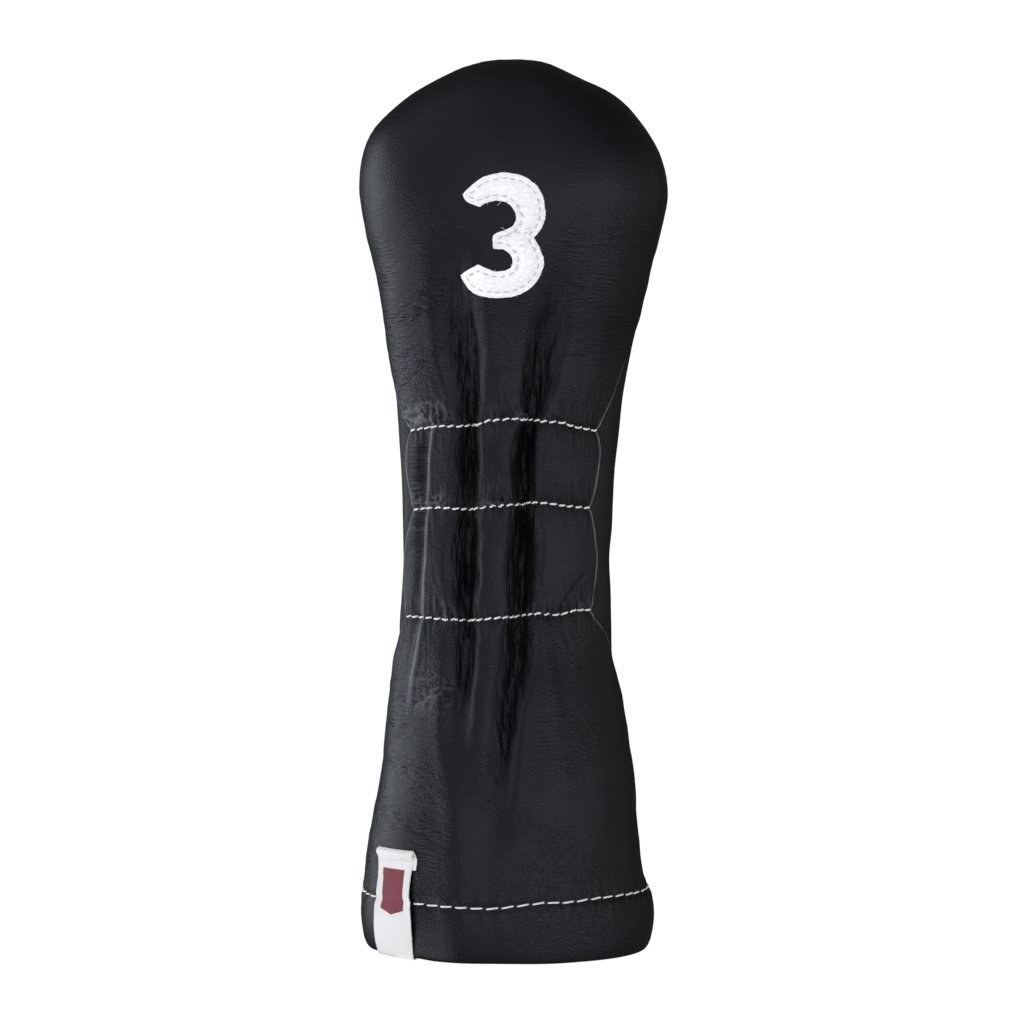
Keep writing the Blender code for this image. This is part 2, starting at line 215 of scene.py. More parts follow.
# --- gathers, folds and unevenness
gather = {
    # the stitched rows, each as x and height across the front
    "rows": {
        "upper": ((-37, 188.2), (-26, 189.4), (-13, 189.5), (-9.6, 191), (-1, 191.8), (8.4, 191), (15, 190.8),
                  (19, 189.6), (30, 187.8)),
        "middle": ((-36, 159.8), (-26, 160.3), (-15, 159.7), (-10.6, 160.5), (1, 161.4), (10.5, 162), (19, 161),
                   (28, 160.2)),
        "lower": ((-38, 121.2), (-26, 120.7), (-15, 120.3), (-2.3, 121.4), (8.4, 122.5), (17, 122.3), (23, 123.7),
                  (28, 123.5)),
    },
    "foldsTop": 262,
    "drift": 1.1,
    # the groove under each row, and how the leather puffs out between the rows and just past them
    "pinch": 0.6,
    "pinchWidth": 1.2,
    "puff": 1.3,
    "puffRise": 3.2,
    "puffFade": (26, 24),
    # the small puckers that the stitches draw up, and the looser ones above them
    "pucker": 0.62,
    "puckerPitch": 2.9,
    "loosePucker": 0.6,
    "cornerPucker": 1.5,
    # how deep a fold is where its leather starts to crease and where it is all creased
    "creasing": (0.6, 4.6),
    "crinkles": (1.5, 1.1),
    # the half width of the laddered strip, and the heights where it comes in and goes
    "strip": (3.0, (138, 150), (182, 187)),
}
# height, x, half width and depth
valleys = (
    ((92, -38.8, 2.8, 0), (106, -36.4, 2.8, 0.4), (116, -34.5, 2.8, 0.7), (121, -33.6, 2.4, 0.6),
     (130, -32.8, 2.8, 1), (143, -32.4, 2.9, 1.1), (155, -31.9, 2.6, 1), (160, -31.6, 2.3, 0.6),
     (167, -31.3, 2.7, 1.1), (178, -30.9, 2.9, 1.3), (186, -30.5, 2.6, 0.9), (190, -30.5, 2.4, 0.4),
     (198, -31, 3, 0)),
    ((54, -19, 7, 0), (70, -19.4, 6.4, 1.2), (86, -19.4, 6.2, 3.6), (100, -18.4, 6, 6.2), (112, -17.6, 5.8, 7.4),
     (121, -17.1, 5.2, 6.2), (130, -17.1, 6.2, 8.8), (143, -17.2, 6.4, 9.6), (154, -16.7, 5.6, 8.2),
     (160, -16.2, 4.8, 6), (167, -16.1, 5.2, 8.2), (178, -16.1, 5.4, 9.2), (186, -15.8, 4.9, 7.6),
     (190, -15.4, 4.5, 6), (196, -15.9, 5.8, 7.6), (209, -17.2, 8.2, 7.6), (223, -18.6, 9.6, 6.2),
     (234, -19.6, 10.2, 3.8), (246, -20.6, 10.6, 1.7), (260, -22, 11, 0)),
    ((36, -6, 7, 0), (50, -5.4, 6.8, 1.9), (62, -4.8, 6.8, 3.6), (74, -3.6, 6.8, 5), (84, -2.2, 6.8, 6),
     (94, -0.6, 6.8, 7), (104, 1.4, 7, 8), (115, 2.7, 7.2, 8.4), (122, 3.4, 6.2, 6.8), (130, 3.8, 6.6, 9.4),
     (143, 3.9, 7, 10.2), (155, 4.3, 6.1, 8.8), (161, 4.6, 5, 6.2), (168, 4.6, 5.6, 8.6), (178, 5, 6, 9.6),
     (187, 6, 5, 7.8), (191, 7.2, 4.5, 6), (197, 8.3, 5.8, 7.8), (209, 10.2, 7.8, 7.6), (222, 13, 8.8, 5.8),
     (234, 15.6, 9.4, 3.4), (246, 18, 9.8, 1.4), (260, 21, 10, 0)),
    ((107, 21, 1.8, 0), (113, 19.2, 1.8, 0.8), (122, 17.4, 1.8, 1), (129, 19.6, 1.9, 1.1), (134, 23.4, 2.3, 0.7),
     (139, 27.5, 2.5, 0)),
)
# the first of these is a sharp crease, which goes on down past the lowest row
ridges = (
    ((84, -38, 1.6, 0), (95, -36.2, 1.2, 0.4), (106, -34.1, 1, 0.6), (116, -32.3, 0.9, 0.6), (121, -31.7, 0.9, 0.5),
     (132, -31.5, 0.9, 0.6), (146, -30.8, 0.9, 0.6), (155, -30.5, 0.9, 0.6), (160, -30.2, 0.8, 0.5),
     (170, -29.8, 0.9, 0.6), (180, -29.1, 0.9, 0.6), (187, -28.7, 0.9, 0.5), (193, -28.6, 1.2, 0)),
    ((60, 18, 5, 0), (80, 15.6, 4.6, 1.2), (98, 13, 3.8, 1.5), (112, 11.4, 3, 1.1), (120, 10.6, 2.6, 0.4),
     (124, 10, 2, 0)),
    ((76, -10, 4, 0), (100, -8.6, 3.6, 0.9), (124, -6.4, 3.4, 0.6), (160, -5.6, 3.4, 0.5), (196, -4.6, 4, 0.7),
     (226, -4, 5, 0)),
    ((4, -22, 8, 0), (24, -20.6, 7, 1.2), (56, -20.4, 6, 1.7), (80, -23, 5, 1.3), (104, -24.5, 5, 0.6),
     (116, -25, 5, 0)),
)
# flats and swellings of the crown, each as x, height, reach and depth
crownShape = (
    (28, 321, 13, 2.2), (-27, 320, 11, 1), (-52, 297, 13, -1.6), (57, 283, 16, -1), (-57, 270, 11, 0.9),
    (52, 262, 13, 0.2), (0, 326, 10, 0.4),
)


@lru_cache(maxsize=None)
def foldStations(height):
    return [through(line, height) for line in valleys], [through(line, height) for line in ridges]


def rowHeight(name, x):
    return through(gather["rows"][name], x)[0]


def gatherRelief(x, z):
    # how deep the gathers draw the front in, how creased, laddered and bunched up it is there, and where it is painted
    # lighter: the sharp crease partly as rubbed leather and partly as painted highlight, the puckers as painted glints
    if z > gather["foldsTop"]:
        return 0, 0, 0, 0, 0
    folds, ribs = foldStations(z)
    rows = [rowHeight(name, x) for name in ("lower", "middle", "upper")]
    nearest = min(abs(z - row) for row in rows)
    drift = gather["drift"] * wobble(x / 13, z / 11, 3)
    deep = sum(depth * cleft(x + drift - middle, width) for middle, width, depth in folds if depth > 0)
    rise = sum(height * bell(x + drift * 0.5 - middle, width) for middle, width, height in ribs if height > 0)
    # the sharp crease is painted lighter along its edge, partly as rubbed leather and partly as a painted highlight
    crestWearAndGlint = ribs[0][2] * bell(x + drift * 0.5 - ribs[0][0], ribs[0][1] * 0.7)
    if z < rows[0] or z > rows[2]:
        fade = gather["puffFade"][0 if z < rows[0] else 1]
        cell = (1 - exp(-nearest / gather["puffRise"])) * exp(-nearest / fade)
    else:
        low, high = (rows[0], rows[1]) if z < rows[1] else (rows[1], rows[2])
        cell = sin(pi * (z - low) / (high - low)) ** 0.6
    puff = gather["puff"] * cell * (1 + 0.35 * wobble(x / 9, z / 16, 8))
    pinch = gather["pinch"] * bell(nearest, gather["pinchWidth"])
    # the leather puckers in clusters, mostly above each row
    above = min((z - row for row in rows if z > row), default=99)
    near = max(exp(-above / 4.6), 0.45 * exp(-nearest / 3.0))
    stripes = sin(2 * pi * (x + 0.12 * (z - 150)) / gather["puckerPitch"] + 5.5 * wobble(x / 6, z / 20, 1))
    cluster = ramp(wobble(x / 8, z / 50, 4), -0.25, 0.45)
    pucker = gather["pucker"] * stripes * near * (0.25 + cluster)
    pucker += gather["loosePucker"] * exp(-above / 8) * wobble(x / 2.0 + z / 9, z / 5, 9) * (0.4 + cluster)
    creased = ramp(deep, *gather["creasing"])
    bent = x + 1.2 * wobble(x / 9, z / 7, 11)
    fine, coarse = gather["crinkles"]
    crinkle = creased * (fine * abs(wobble(bent / 1.7, z / 10, 5)) + coarse * wobble(bent / 3.0, z / 13, 6) - 0.3)
    # the strip beside the left seam is drawn up like a ladder
    half, start, end = gather["strip"]
    strip = bell(x + 1.2 - folds[0][0], half, 4) * ramp(z, *start) * (1 - ramp(z, *end))
    # the left ends of the upper rows bunch up, and so does a spot lower down
    corner = ramp(-x, 20, 27) * max(bell(z - rows[2] - 4.5, 4.5), 0.7 * bell(z - rows[1] - 2.5, 2.5))
    pucker += gather["cornerPucker"] * corner * wobble(x / 2.4, z / 3.2, 19)
    corner = max(corner, 0.6 * bell(Vector((x + 29, z - 94)).length, 7))
    # painted glints on the crests of the puckers, in the bunched-up corner and in clusters near the rows
    crestWearAndGlint = 0.8 * crestWearAndGlint + 0.55 * corner * bell(wobble(x / 2.4, z / 3.0, 19), 0.1)
    crestWearAndGlint += 0.3 * near * cluster * bell(wobble(x / 1.7, z / 6, 23), 0.09) * (1 - creased)
    return deep - rise - puff + pinch + pucker + crinkle, min(creased + exp(-nearest / 6), 1), crestWearAndGlint, strip, corner


hem = {
    # x and height of the stitched line
    "line": (
        (-56, 20.9), (-35, 20.4), (-19, 20.1), (-7, 19.9), (3, 21), (11, 21.9), (18, 21.7), (30, 22.4), (40, 22.4),
        (52, 21.8),
    ),
    "groove": 0.5,
    "grooveWidth": 1.3,
    "pucker": 0.22,
    "puckerPitch": 5.5,
    "waver": 0.3,
    "labelLift": 0.5,
}
# how far the slack leather rises and falls
slack = {"broad": 0.8, "fine": 0.3, "besideSeams": 0.22, "aboveHem": 0.45, "wrinkle": 0.22, "tuck": 2.1, "wave": 0.3}


def hemHeight(x):
    return through(hem["line"], x)[0]


def slackWrinkles(x, z):
    # where the leather is loose enough to wrinkle across: down the left side, and beside and below the numeral
    side = ramp(-x, 17, 27) * ramp(z, 24, 34) * (1 - 0.6 * ramp(z, 240, 262))
    side *= 1 - 0.8 * ramp(z, 110, 120) * (1 - ramp(z, 187, 192))
    rightOfNumeral = 0.9 * bell(z - 253, 8) * ramp(x, 12, 18) * (1 - ramp(x, 34, 48))
    belowNumeral = 0.7 * ramp(x, 6, 18) * bell(z - 236, 26) * ramp(z, 193, 200)
    besideFold = 0.8 * bell(x - 13, 4) * bell(z - 92, 20)
    return max(side, belowNumeral, besideFold, rightOfNumeral)


def relief(panel, angle, level, point):
    # how far the leather lies under the smooth outside, how creased, wrinkled and laddered it is, and where it is
    # painted lighter as rubbed leather and painted highlights
    x, y, z = point
    edges = [(point - seam).length for seam in seamPoints(level)]
    if level > shoulder:
        edges.append(abs(y))
    edge = min(edges)
    start, end = cover["neck"]
    neck = ramp(z, *start) * (1 - ramp(z, *end))
    roll = cover["seamRoll"]
    inset = roll - sqrt(roll**2 - (roll - edge) ** 2) if edge < roll else 0
    inset *= 0.75 + 0.25 * neck
    creased = 0.5 * bell(edge, 5)
    inset += slack["broad"] * wobble(x / 34, y / 34 + 7, z / 42) + slack["fine"] * wobble(x / 13, y / 13, z / 17)
    inset += slack["besideSeams"] * bell(edge, 9) * wobble(x / 5, y / 5 + 2, z / 6)
    wearAndHighlight = laddered = corner = 0.0
    if panel == "front":
        depth, crinkled, crestWearAndGlint, laddered, corner = gatherRelief(x, z)
        held = ramp(edge, 0.2, 3.0)
        inset += depth * held + (1 - held) * min(depth, 0.4)
        creased = max(creased, crinkled)
        # the front's edges at the neck are painted lighter, partly as rubbed leather and partly as a painted highlight
        # line
        wearAndHighlight = min(neck * bell(edge - 0.5, 0.6) + crestWearAndGlint, 1)
    else:
        inset += 0.2 * bell(edge, 3) * (1 - neck) + slack["tuck"] * neck * bell(edge, 5)
        wave = sin(z / 5.2 + 3 * wobble(x / 20, z / 30)) * bell(z - 150, 45)
        inset += slack["wave"] * wave * (0.5 + wobble(x / 14, z / 18, 6))
    for middle, height, reach, depth in crownShape:
        inset += depth * bell(Vector((x - middle, z - height)).length, reach)
    line = hemHeight(x)
    inset += hem["groove"] * bell(z - line, hem["grooveWidth"])
    around = (x + y) if panel == "front" else (x - y)
    inset += hem["pucker"] * sin(2 * pi * around / hem["puckerPitch"]) * bell(z - line, 4)
    inset += slack["aboveHem"] * wobble(x / 16, y / 16, z / 60) * (1 - ramp(z, 10, 40))
    patchy = 0.35 + 1.1 * ramp(wobble(x / 14, z / 11, 15), -0.3, 0.4)
    wrinkled = slackWrinkles(x, z) * patchy * (1 - creased) + corner
    inset += slack["wrinkle"] * wrinkled * wobble(x / 7, z / 1.9, 17)
    return inset, creased, wearAndHighlight, wrinkled, laddered


@lru_cache(maxsize=None)
def skin(panel, share, level):
    # a point of the smooth outside, the outward direction, the relief, and the marks on the leather
    angle = panelAngle(panel, share, level)
    point = envelope(angle, level)
    inset, *marks = relief(panel, angle, level, point)
    return point, outward(angle, level), inset, marks


labelPlace = {"middle": -42.0, "width": 17.5, "front": -26}


def bottomLift(x, y):
    # the hem's lower edge isn't quite level, and it is higher over the label
    lift = hem["waver"] * (0.5 + 0.5 * wobble(x / 22, y / 22, 5))
    away = Vector((x - labelPlace["middle"], y - labelPlace["front"])).length
    return lift + hem["labelLift"] * bell(away, 14, 6)


def onPanel(panel, share, level, depth=0.0):
    point, direction, inset, _ = skin(panel, share, level)
    lowered = point - direction * (inset + depth)
    lowered.y += -cover["seamGap"] / 2 if panel == "front" else cover["seamGap"] / 2
    # the slit between the panels slants, so that nothing shows through it
    lowered.y += 0.3 * depth * bell(min((point - seam).length for seam in seamPoints(level)), 3)
    if level < cover["hem"]:
        lowered.z += bottomLift(point.x, point.y) * (1 - level / cover["hem"])
    return lowered


def surfaceFrame(panel, share, level, depth=0.0):
    # a point on the folded leather, with its true outward direction
    step = 0.0015
    across = onPanel(panel, share + step, level) - onPanel(panel, share - step, level)
    up = onPanel(panel, share, level + 0.25) - onPanel(panel, share, level - 0.25)
    normal = across.cross(up).normalized()
    return onPanel(panel, share, level) - normal * depth, normal


# --- finishes
class Wire:
    # a socket that does arithmetic
    def __init__(self, finish, socket):
        self.finish, self.socket = finish, socket

    def maths(self, operation, first, second):
        return self.finish.node("ShaderNodeMath", {"operation": operation}, {0: first, 1: second})

    def __add__(self, other):
        return self.maths("ADD", self, other)

    def __sub__(self, other):
        return self.maths("SUBTRACT", self, other)

    def __rsub__(self, other):
        return self.maths("SUBTRACT", other, self)

    def __mul__(self, other):
        return self.maths("MULTIPLY", self, other)

    __radd__ = __add__
    __rmul__ = __mul__


class Surround:
    # a tree of nodes, made one call at a time
    def __init__(self, tree):
        self.tree = tree

    def node(self, kind, settings=None, inputs=None, output=0):
        made = self.tree.nodes.new(kind)
        for key, value in (settings or {}).items():
            setattr(made, key, value)
        for key, value in (inputs or {}).items():
            self.feed(made.inputs[key], value)
        return Wire(self, made.outputs[output])

    def feed(self, socket, value):
        if isinstance(value, Wire):
            self.tree.links.new(value.socket, socket)
        else:
            socket.default_value = value

    def smoothly(self, value, low, high, start=0.0, end=1.0):
        inputs = {"Value": value, "From Min": low, "From Max": high, "To Min": start, "To Max": end}
        return self.node("ShaderNodeMapRange", {"interpolation_type": "SMOOTHSTEP"}, inputs)

    def scaledAdd(self, vector, scale, added):
        return self.node("ShaderNodeVectorMath", {"operation": "MULTIPLY_ADD"}, {0: vector, 1: scale, 2: added})

    def mix(self, mask, first, second):
        inputs = {"Factor": mask}
        for key, value in ((6, first), (7, second)):
            inputs[key] = value if isinstance(value, Wire) else (*value, 1)
        return self.node("ShaderNodeMix", {"data_type": "RGBA"}, inputs, output=2)


class Finish(Surround):
    def __init__(self, name, colour, **fixed):
        self.material = bpy.data.materials.new(name)
        self.material.use_nodes = True
        super().__init__(self.material.node_tree)
        self.shader = self.tree.nodes["Principled BSDF"]
        self.set("Base Color", (*colour, 1))
        for socket, value in fixed.items():
            self.set(socket.replace("_", " "), value)

    def set(self, socket, value):
        self.feed(self.shader.inputs[socket], value)

    def place(self, kind="Object"):
        return self.node("ShaderNodeTexCoord", output=kind)

    def stretched(self, vector, scale):
        return self.node("ShaderNodeMapping", None, {"Vector": vector, "Scale": scale})

    def noise(self, vector, scale, detail=3.0, roughness=0.55, output="Fac"):
        values = {"Vector": vector, "Scale": scale, "Detail": detail, "Roughness": roughness}
        return self.node("ShaderNodeTexNoise", None, values, output)

    def cells(self, vector, scale, feature="DISTANCE_TO_EDGE"):
        return self.node("ShaderNodeTexVoronoi", {"feature": feature}, {"Vector": vector, "Scale": scale}, "Distance")

    def waves(self, vector, direction, scale, distortion=0.0):
        values = {"Vector": vector, "Scale": scale, "Distortion": distortion, "Detail": 1.0}
        return self.node("ShaderNodeTexWave", {"bands_direction": direction}, values, "Fac")

    def attribute(self, name):
        return self.node("ShaderNodeAttribute", {"attribute_name": name}, output="Fac")

    def bump(self, height, distance, strength=1.0):
        return self.node("ShaderNodeBump", None, {"Height": height, "Distance": distance, "Strength": strength})


# how deep each kind of mark is cut, against the pebble grain
leatherMarks = {"pebble": 1.4, "creased": 24.0, "wrinkled": 2.9, "laddered": 6.0, "scale": 700, "rungs": 180}


def toned(colour, share):
    return [value * share for value in colour]


def leather(name, colour, wearAndHighlight, grain, depth, roughness, shine, pebbleEdgeShade=0.0):
    made = Finish(name, colour, Specular_IOR_Level=shine)
    place = made.place()
    drift = made.noise(place, 240, 2, 0.5, "Color")
    shifted = made.scaledAdd(drift, (0.0012,) * 3, place)
    pebble = made.smoothly(made.cells(made.stretched(shifted, (0.75, 0.75, 1.2)), 1 / grain), 0.0, 0.4)
    broad = made.noise(place, 46)
    creased = made.attribute("creased")
    upright = made.noise(made.stretched(place, (1, 0.3, 0.15)), leatherMarks["scale"], 2, 0.5)
    bent = made.stretched(made.scaledAdd(drift, (0.0008,) * 3, place), (0.2, 0.2, 1))
    level = made.smoothly(made.cells(bent, leatherMarks["scale"]), 0.0, 0.5)
    rungs = made.waves(made.stretched(place, (0.2, 0.2, 1)), "Z", leatherMarks["rungs"], 6.0)
    patches = made.smoothly(made.noise(place, 30, 2), 0.4, 0.65, 0.4, 1.25)
    height = pebble * patches * leatherMarks["pebble"] + creased * upright * leatherMarks["creased"]
    height = height + made.attribute("wrinkled") * level * leatherMarks["wrinkled"]
    height = height + made.attribute("laddered") * rungs * leatherMarks["laddered"]
    made.set("Normal", made.bump(height, depth))
    # the pebbles' cell edges are darkened as painted shade in the creases of the grain
    shadedPebbleEdges = toned(colour, 1 - pebbleEdgeShade)
    bright = [min(value * 1.35, 0.9 * value + 0.09) for value in colour]
    faces = made.mix(pebble, shadedPebbleEdges, made.mix(made.smoothly(broad, 0.32, 0.7), colour, bright))
    # the second colour is painted where the leather is marked as rubbed and where highlights and glints are painted
    made.set("Base Color", made.mix(made.attribute("wearAndHighlight"), faces, wearAndHighlight))
    smooth = made.smoothly(pebble * 0.6 + broad * 0.5, 0.1, 0.95, roughness + 0.1, roughness - 0.05)
    made.set("Roughness", smooth + creased * 0.14)
    return made.material


def thread(name, colour):
    made = Finish(name, colour, Specular_IOR_Level=0.4, Sheen_Weight=0.15)
    place = made.place()
    twist = made.waves(place, "DIAGONAL", 620.0, 1.0)
    fuzz = made.noise(place, 5200, 2)
    made.set("Normal", made.bump(twist + fuzz * 0.5, 0.00012, 0.8))
    shade = made.smoothly(made.noise(place, 900, 2), 0.3, 0.75)
    made.set("Base Color", made.mix(shade, toned(colour, 0.82), colour))
    made.set("Roughness", made.smoothly(fuzz, 0.2, 0.8, 0.6, 0.8))
    return made.material


def fleece(name, colour):
    made = Finish(name, colour, Specular_IOR_Level=0.2, Sheen_Weight=0.5, Sheen_Roughness=0.6)
    place = made.place()
    curls = made.noise(place, 620, 4, 0.7)
    tufts = made.cells(place, 420, "SMOOTH_F1")
    made.set("Normal", made.bump(curls + tufts * 0.8, 0.0007))
    shade = made.smoothly(curls, 0.3, 0.72)
    made.set("Base Color", made.mix(shade, toned(colour, 0.55), toned(colour, 1.25)))
    made.set("Roughness", made.smoothly(tufts, 0.0, 0.8, 0.98, 0.88))
    return made.material


def wovenTape(name, colour):
    made = Finish(name, colour, Specular_IOR_Level=0.3)
    along = made.place("UV")
    rib = made.waves(along, "Y", 9.0)
    weft = made.waves(along, "X", 70.0)
    made.set("Normal", made.bump(rib + weft * 0.6, 0.0003, 0.8))
    made.set("Base Color", made.mix(rib, toned(colour, 0.75), colour))
    made.set("Roughness", made.smoothly(weft, 0, 1, 0.85, 0.7))
    return made.material


# the badge's place on the strip, as shares of its length and width
badge = {"low": 0.445, "high": 0.765, "half": 0.33, "point": 0.11, "blur": (0.012, 0.004)}


def labelSatin(name):
    made = Finish(name, (0.8, 0.8, 0.79), Specular_IOR_Level=0.3, Sheen_Weight=0.2)
    along = made.place("UV")
    across = made.node("ShaderNodeSeparateXYZ", None, {0: along}, "X")
    upward = Wire(made, across.socket.node.outputs["Y"])
    warp = made.waves(along, "X", 22.0)
    weft = made.waves(along, "Y", 60.0)
    loose = made.noise(made.place(), 160, 2)
    made.set("Normal", made.bump(warp * 0.5 + weft + loose * 2.0, 0.00006, 0.9))
    # a plain badge woven into the strip: straight sides, pointed below
    low, high, half = badge["low"], badge["high"], badge["half"]
    wide, fine = badge["blur"]
    sideways = across.maths("ABSOLUTE", across - 0.5, 0.0)
    inside = made.smoothly(sideways, half + wide, half - wide) * made.smoothly(upward, high + fine, high - fine)
    inside = inside * made.smoothly(upward - sideways * badge["point"], low - fine, low + fine)
    rib = made.smoothly(weft, 0.1, 0.9)
    satin = made.mix(rib, (0.60, 0.58, 0.54), (0.66, 0.635, 0.59))
    burgundy = made.mix(rib, (0.13, 0.010, 0.018), (0.20, 0.019, 0.030))
    made.set("Base Color", made.mix(inside, satin, burgundy))
    made.set("Roughness", made.smoothly(rib, 0, 1, 0.55, 0.4))
    return made.material


blackGrain, whiteGrain = (0.0013, 0.00006), (0.0022, 0.0003)
finishes = {
    # the black leather's second colour is its rubbed and painted-highlight colour
    "black_leather": leather("blackLeather", (0.0036, 0.0040, 0.0052), (0.17, 0.175, 0.185), *blackGrain, 0.33, 0.27),
    "back_leather": leather("backLeather", (0.0066, 0.0070, 0.0058), (0.03, 0.03, 0.03), *blackGrain, 0.44, 0.27),
    # the white leather's last value darkens its grain's cell edges as painted shade
    "white_leather": leather("whiteLeather", (0.88, 0.86, 0.81), (0.90, 0.88, 0.84), *whiteGrain, 0.46, 0.35, 0.14),
    "white_thread": thread("whiteThread", (0.72, 0.70, 0.65)),
    # white thread painted grey, as painted shade where it sinks into the numeral's stitch holes
    "grey_thread": thread("shadedWhiteThread", (0.58, 0.58, 0.55)),
    "black_thread": thread("blackThread", (0.016, 0.016, 0.017)),
    "lining_fleece": fleece("liningFleece", (0.055, 0.055, 0.06)),
    "elastic": wovenTape("elasticTape", (0.62, 0.62, 0.6)),
    "label_satin": labelSatin("labelSatin"),
}
print("finishes made:", len(finishes))


# --- building tools
def closedMesh(name, bm):
    bmesh.ops.recalc_face_normals(bm, faces=bm.faces)
    mesh = bpy.data.meshes.new(name)
    bm.to_mesh(mesh)
    bm.free()
    return mesh


def thicken(bm):
    # a second skin, joined to the first round its edge
    made = bmesh.ops.extrude_face_region(bm, geom=bm.faces[:], use_keep_orig=True)
    return [item for item in made["geom"] if isinstance(item, bmesh.types.BMVert)]


def finishPiece(name, data, slot, node, finish=None, smoothTo=40):
    piece = bpy.data.objects.new(name, data)
    bpy.context.scene.collection.objects.link(piece)
    data.materials.clear()
    data.materials.append(finishes[finish or slot])
    data.shade_smooth()
    data.set_sharp_from_angle(angle=radians(smoothTo))
    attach(piece, "root")
    if node:
        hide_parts(node)
    return piece


def sheetMesh(name, columns, levels, outer, inner, marks=None):
    # a curved sheet with thickness, placed by outer and inner from a share across and a level
    bm = bmesh.new()
    bm.loops.layers.uv.new("UVMap")
    bmesh.ops.create_grid(bm, x_segments=columns, y_segments=len(levels) - 1, size=0.5, calc_uvs=True)
    layers = [bm.verts.layers.float.new(mark) for mark in ("creased", "wearAndHighlight", "wrinkled", "laddered")]
    for verts, placed in ((list(bm.verts), outer), (thicken(bm), inner)):
        for vert in verts:
            share = min(max(round((vert.co.x + 0.5) * columns) / columns, 0), 1)
            level = levels[round((vert.co.y + 0.5) * (len(levels) - 1))]
            if marks:
                for layer, value in zip(layers, marks(share, level)):
                    vert[layer] = value
            vert.co = placed(share, level) * mm
    bmesh.ops.remove_doubles(bm, verts=bm.verts, dist=0.01 * mm)
    return closedMesh(name, bm)


def spread(*stretches):
    # heights from (start, end, step) stretches
    found = []
    for start, end, step in stretches:
        count = max(round((end - start) / step), 1)
        found += [start + (end - start) * i / count for i in range(count)]
    return found + [stretches[-1][1]]


class SewingLine:
    # a line on a surface, measured along its length
    def __init__(self, places):
        self.places = places
        self.lengths = [0.0]
        for (before, _), (after, _) in zip(places, places[1:]):
            self.lengths.append(self.lengths[-1] + (after - before).length)
        self.length = self.lengths[-1]

    def at(self, distance):
        distance = min(max(distance, 0), self.length)
        i = max(min(sum(1 for d in self.lengths if d <= distance) - 1, len(self.places) - 2), 0)
        span = self.lengths[i + 1] - self.lengths[i]
        t = (distance - self.lengths[i]) / span if span else 0
        (p, n), (q, m) = self.places[i], self.places[i + 1]
        return p.lerp(q, t), n.lerp(m, t).normalized()


def stitchAlong(line, pitch, length, lift, slant, seed):
    # each stitch rises out of its hole, lies on the surface and dips into the next hole
    stitches = []
    count = round(line.length / pitch)
    step = line.length / count
    for i in range(count):
        start = (i + 0.5) * step - length / 2 + 0.12 * wobble(i * 1.7, seed)
        points = []
        for share, rise in ((0.0, -0.5), (0.1, 0.35), (0.35, 0.95), (0.65, 1.0), (0.9, 0.35), (1.0, -0.5)):
            point, normal = line.at(start + share * length)
            further, _ = line.at(start + share * length + 0.2)
            back, _ = line.at(start + share * length - 0.2)
            sideways = normal.cross((further - back).normalized())
            turn = slant * (share - 0.5) + 0.1 * wobble(i * 2.3, share, seed)
            points.append(point + normal * lift * rise + sideways * turn)
        stitches.append(points)
    return stitches


def threadMesh(name, lines, diameter, sides=2):
    # round thread along each line, drawn in a little at its ends
    curve = bpy.data.curves.new(name + "Line", "CURVE")
    curve.dimensions = "3D"
    curve.bevel_depth = diameter / 2 * mm
    curve.bevel_resolution = sides
    curve.use_fill_caps = True
    for points in lines:
        spline = curve.splines.new("POLY")
        spline.points.add(len(points) - 1)
        for target, point in zip(spline.points, points):
            target.co = (*(point * mm), 1)
        spline.points[0].radius = spline.points[-1].radius = 0.7
    holder = bpy.data.objects.new(name + "Line", curve)
    bpy.context.scene.collection.objects.link(holder)
    graph = bpy.context.evaluated_depsgraph_get()
    mesh = bpy.data.meshes.new_from_object(holder.evaluated_get(graph))
    bpy.data.objects.remove(holder)
    bpy.data.curves.remove(curve)
    mesh.name = name
    return mesh


def sew(name, node, places, sewing, kind, seed):
    slot, thickness, lift, slant, sides = sewing[kind]
    stitches = stitchAlong(SewingLine(places), sewing["pitch"], sewing["stitch"], lift, slant, seed)
    finishPiece(name, threadMesh(name, stitches, thickness, sides), slot, node, smoothTo=80)


def lineOn(panel, start, reach, steps, level, heightOf):
    # places across a panel, at the height that heightOf gives for the x of each
    places = []
    for i in range(steps + 1):
        share = start + reach * i / steps
        x = envelope(panelAngle(panel, share, level), level).x
        places.append(surfaceFrame(panel, share, heightOf(x)))
    return places


def behindLine(places, depth):
    # the same line on the inside, for the under thread
    return [(point - normal * depth, -normal) for point, normal in places]


# --- leather shell
def rimRound(level):
    radius = cover["hemRound"]
    return radius - sqrt(radius**2 - (radius - level) ** 2) if level < radius else 0


def buildPanel(name, panel, columns, levels, node, finish):
    def outer(share, level):
        return onPanel(panel, share, level, rimRound(level))

    def inner(share, level):
        wall = cover["hemWall"] if level <= cover["hem"] else cover["leather"]
        return onPanel(panel, share, level, wall - rimRound(level))

    mesh = sheetMesh(name, columns, levels, outer, inner, lambda share, level: skin(panel, share, level)[3])
    return finishPiece(name, mesh, "black_leather", node, finish)


rimLevels = [0, 0.12, 0.35, 0.7, 1.3]
lowLevels = rimLevels + spread((1.3, 17, 1.8), (17, cover["hem"], 0.7))[1:] + [24.3]
frontLevels = lowLevels + spread((25.3, 92, 1.7), (92, 218, 1.0), (218, shoulder, 1.8), (shoulder, top, 2.0))
backLevels = lowLevels + spread((25.3, shoulder, 1.8), (shoulder, top, 1.6))
frontPanel = buildPanel("front_leather", "front", 190, frontLevels, "front_panel", "black_leather")
backPanel = buildPanel("back_leather", "back", 104, backLevels, "back_panel", "back_leather")
print("shell built:", len(frontPanel.data.polygons), len(backPanel.data.polygons), "faces")


